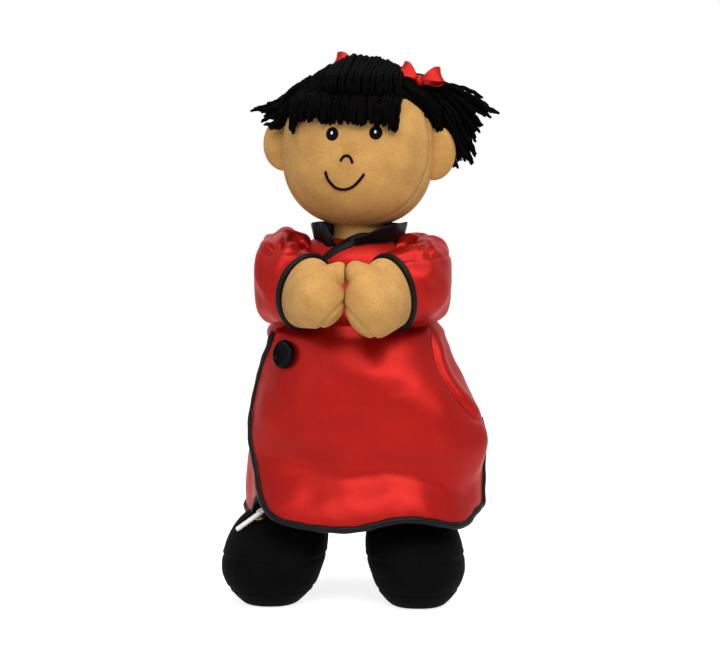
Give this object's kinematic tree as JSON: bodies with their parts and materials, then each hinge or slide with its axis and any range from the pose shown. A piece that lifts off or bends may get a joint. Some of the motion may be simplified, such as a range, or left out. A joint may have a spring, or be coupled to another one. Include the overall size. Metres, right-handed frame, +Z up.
{
  "type": "stuffed cloth doll",
  "caption": "Stuffed cloth doll with yarn hair in bunches, an embroidered face, a satin wrap gown that buttons at the side, and laced cloth boots.",
  "frame": {"origin": "on the floor, under the middle of the bounding box", "axes": "+Z up, the doll faces -Y, its own right side is at -X"},
  "size_m": [0.191, 0.171, 0.4046],
  "materials": {
    "skin_velour": "short-pile tan velour",
    "filling": "loose white fibre",
    "black_thread": "embroidery cotton",
    "black_yarn": "plied wool yarn",
    "red_satin": "satin, soft sheen",
    "black_satin": "satin binding",
    "boot_cloth": "black brushed cotton",
    "black_plastic": "polished",
    "stiffener_board": "plain",
    "white_lace": "flat braided cotton",
    "aglet_plastic": "moulded",
    "brass": "antiqued"
  },
  "bodies": {
    "body": {"torso_skin": "skin_velour", "torso_filling": "filling", "gown_bodice": "red_satin", "gown_skirt": "red_satin", "skirt_binding": "black_satin", "collar": "black_satin", "neckline_binding": "black_satin"},
    "neck_stem": {"neck": "skin_velour"},
    "head": {"face_panel": "skin_velour", "head_back": "skin_velour", "head_filling": "filling", "ear_right": "skin_velour", "ear_left": "skin_velour", "eye_right": "black_thread", "eye_left": "black_thread", "nose_stitches": "black_thread", "mouth_stitches": "black_thread", "hair_crown": "black_yarn", "hair_fringe": "black_yarn", "hair_bunch_right": "black_yarn", "hair_bunch_left": "black_yarn", "bow_right": "red_satin", "bow_left": "red_satin"},
    "arm_right": {"upper_arm_right": "skin_velour", "sleeve_right": "red_satin"},
    "hand_right": {"forearm_right": "skin_velour", "cuff_binding_right": "black_satin"},
    "arm_left": {"upper_arm_left": "skin_velour", "sleeve_left": "red_satin"},
    "hand_left": {"forearm_left": "skin_velour", "cuff_binding_left": "black_satin"},
    "flap": {"gown_flap": "red_satin", "flap_binding": "black_satin", "button": "black_plastic"},
    "foot_right": {"leg_right": "skin_velour", "boot_upper_right": "boot_cloth", "boot_band_right": "boot_cloth", "boot_sole_right": "boot_cloth", "boot_insole_right": "stiffener_board", "eyelet_outer_right": "brass", "eyelet_inner_right": "brass", "lace_right": "white_lace", "aglet_right": "aglet_plastic"},
    "foot_left": {"leg_left": "skin_velour", "boot_upper_left": "boot_cloth", "boot_band_left": "boot_cloth", "boot_sole_left": "boot_cloth", "boot_insole_left": "stiffener_board", "eyelet_outer_left": "brass", "eyelet_inner_left": "brass"}
  },
  "joints": [
    {"name": "neck_turn", "type": "hinge", "parent": "body", "child": "neck_stem", "pos_m": [-0.00187, 0.01853, 0.263], "axis": [0, 0, 1], "range_deg": [-40, 50], "stiffness_Nm_per_rad": 0.3},
    {"name": "head_nod", "type": "hinge", "parent": "neck_stem", "child": "head", "pos_m": [-0.00187, 0.01853, 0.278], "axis": [1, 0, 0], "range_deg": [-6, 6], "stiffness_Nm_per_rad": 2},
    {"name": "shoulder_right", "type": "hinge", "parent": "body", "child": "arm_right", "pos_m": [-0.04587, 0.01853, 0.249], "axis": [-1, 0, 0], "range_deg": [0, 35], "deforming": ["sleeve_right"]},
    {"name": "shoulder_left", "type": "hinge", "parent": "body", "child": "arm_left", "pos_m": [0.03513, 0.01853, 0.249], "axis": [-1, 0, 0], "range_deg": [0, 35], "deforming": ["sleeve_left"]},
    {"name": "elbow_right", "type": "hinge", "parent": "arm_right", "child": "hand_right", "pos_m": [-0.05892, -0.0169, 0.23951], "axis": [0, 0, -1], "range_deg": [0, 45], "stiffness_Nm_per_rad": 0.05, "deforming": ["sleeve_right"]},
    {"name": "elbow_left", "type": "hinge", "parent": "arm_left", "child": "hand_left", "pos_m": [0.04818, -0.0169, 0.23951], "axis": [0, 0, 1], "range_deg": [0, 45], "stiffness_Nm_per_rad": 0.05, "deforming": ["sleeve_left"]},
    {"name": "hip_right", "type": "hinge", "parent": "body", "child": "foot_right", "pos_m": [-0.03437, 0.01853, 0.138], "axis": [-1, 0, 0], "range_deg": [-6, 6], "stiffness_Nm_per_rad": 6},
    {"name": "hip_left", "type": "hinge", "parent": "body", "child": "foot_left", "pos_m": [0.01363, 0.01853, 0.138], "axis": [-1, 0, 0], "range_deg": [-6, 6], "stiffness_Nm_per_rad": 6},
    {"name": "flap_open", "type": "hinge", "parent": "body", "child": "flap", "pos_m": [0.09101, 0.00697, 0.07231], "axis": [0, 0, 1], "range_deg": [0, 45], "stiffness_Nm_per_rad": 0.05}
  ]
}
